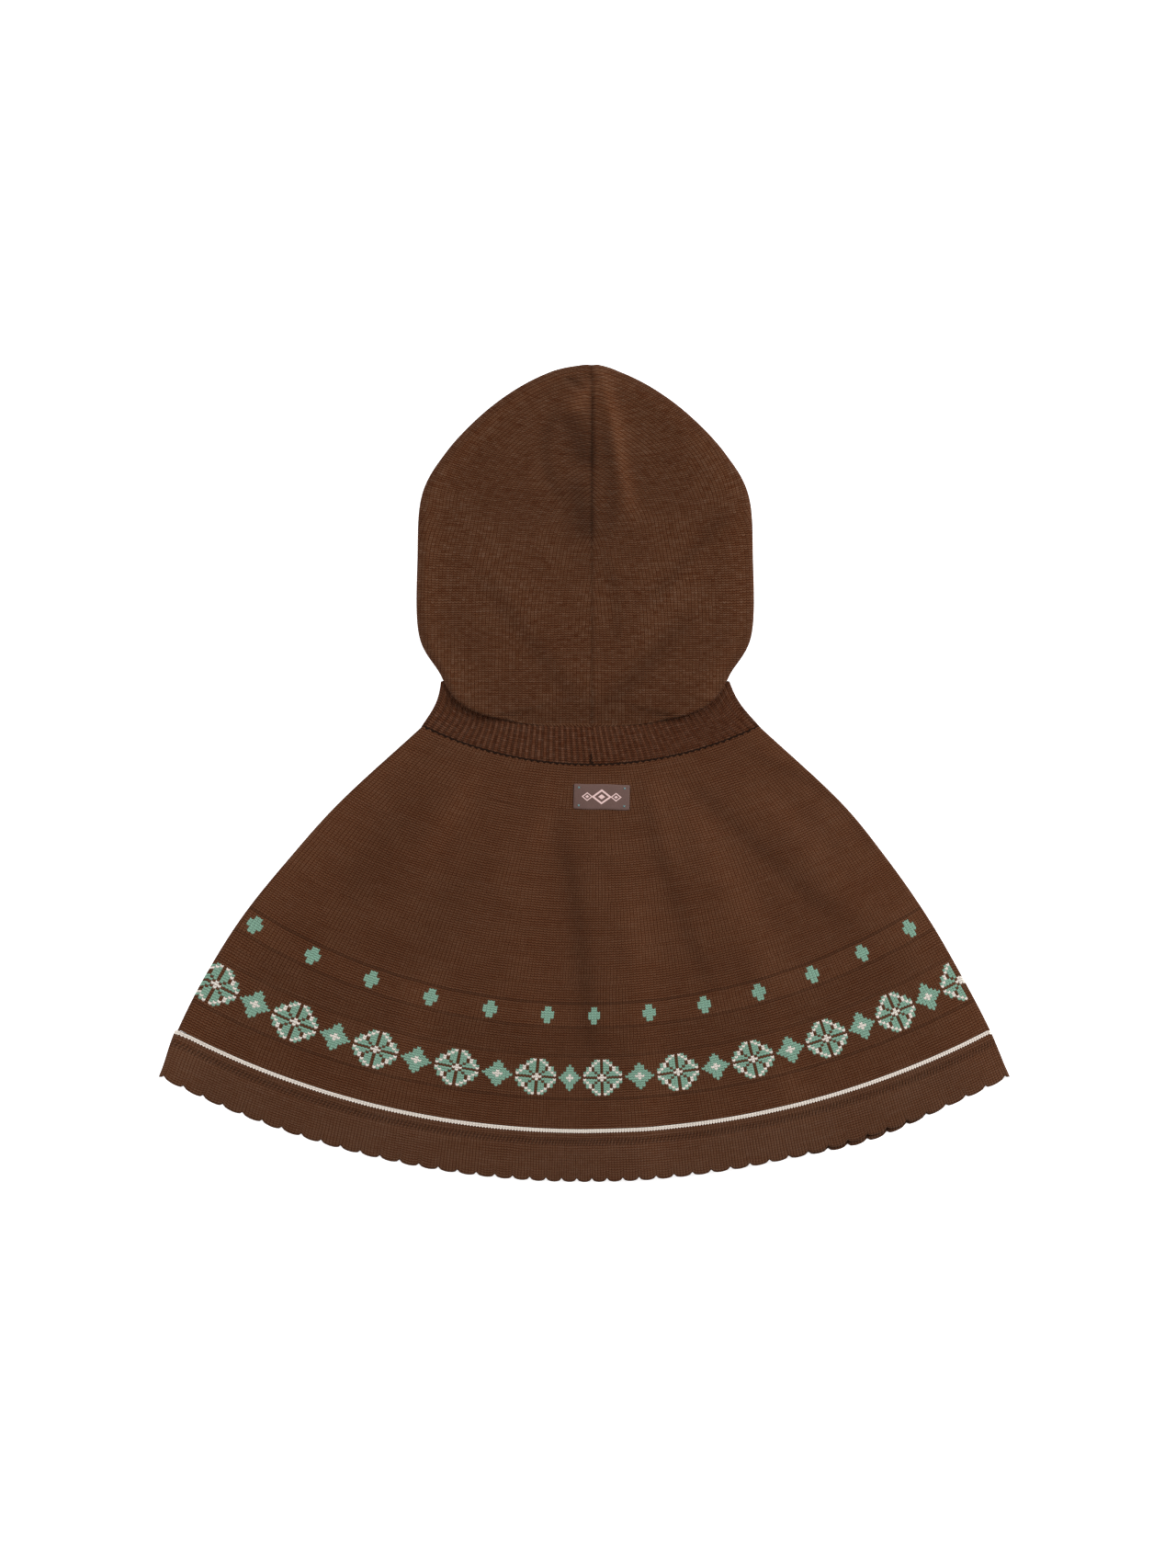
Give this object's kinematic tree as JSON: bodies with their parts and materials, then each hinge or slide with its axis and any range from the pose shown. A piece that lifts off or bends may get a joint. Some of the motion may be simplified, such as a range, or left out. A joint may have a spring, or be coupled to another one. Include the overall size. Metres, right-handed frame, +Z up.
{
  "type": "hooded knit cape",
  "caption": "Small flared pullover cape with a ribbed neckband, a seamed hood and a scalloped hem, laid flat with its back up.",
  "frame": {"origin": "middle of the outline, on the surface that the cape lies on", "axes": "+X to the right and +Y towards the hood's tip as seen from above, +Z up from the surface"},
  "size_m": [0.5556, 0.5338, 0.0101],
  "materials": {
    "body_knit": "brown stocking stitch with sea-green and off-white figures",
    "hem_knit": "fine brown knit with one off-white stripe",
    "rib_knit": "brown rib",
    "hood_knit": "brown stocking stitch",
    "label_weave": "smooth mauve-brown woven label"
  },
  "bodies": {
    "root": {"cape_back": "body_knit", "cape_front": "body_knit", "hem_band_back": "hem_knit", "hem_band_front": "hem_knit", "neck_rib_back": "rib_knit", "neck_rib_front": "rib_knit", "hood_left": "hood_knit", "hood_right": "hood_knit", "label": "label_weave"}
  },
  "joints": []
}
